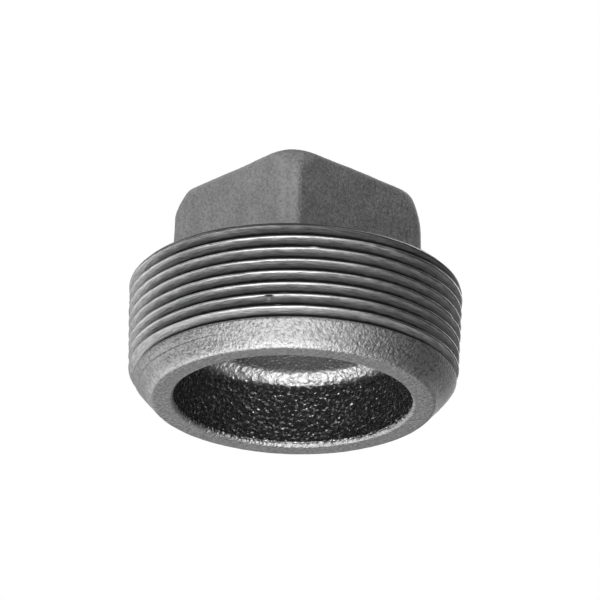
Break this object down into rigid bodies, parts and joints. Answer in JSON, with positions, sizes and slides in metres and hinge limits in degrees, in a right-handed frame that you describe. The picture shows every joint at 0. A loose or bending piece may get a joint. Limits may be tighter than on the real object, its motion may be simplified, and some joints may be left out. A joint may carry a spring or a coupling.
{
  "type": "square-head pipe plug",
  "caption": "Hollow cast-iron pipe plug: square wrench head on a round body with an external taper pipe thread, open core cavity underneath.",
  "frame": {"origin": "centre of the plane of the mouth rim, on the pipe axis", "axes": "+Z along the pipe axis from the open mouth to the top of the wrench head; +X and +Y square to two neighbouring wrench flats"},
  "size_m": [0.0608, 0.0607, 0.0411],
  "materials": {
    "black_iron": "black malleable iron, as cast on the head, bevel and cavity, cut bright on the thread, thin oil film"
  },
  "bodies": {
    "root": {"square_head_plug": "black_iron"}
  },
  "joints": []
}
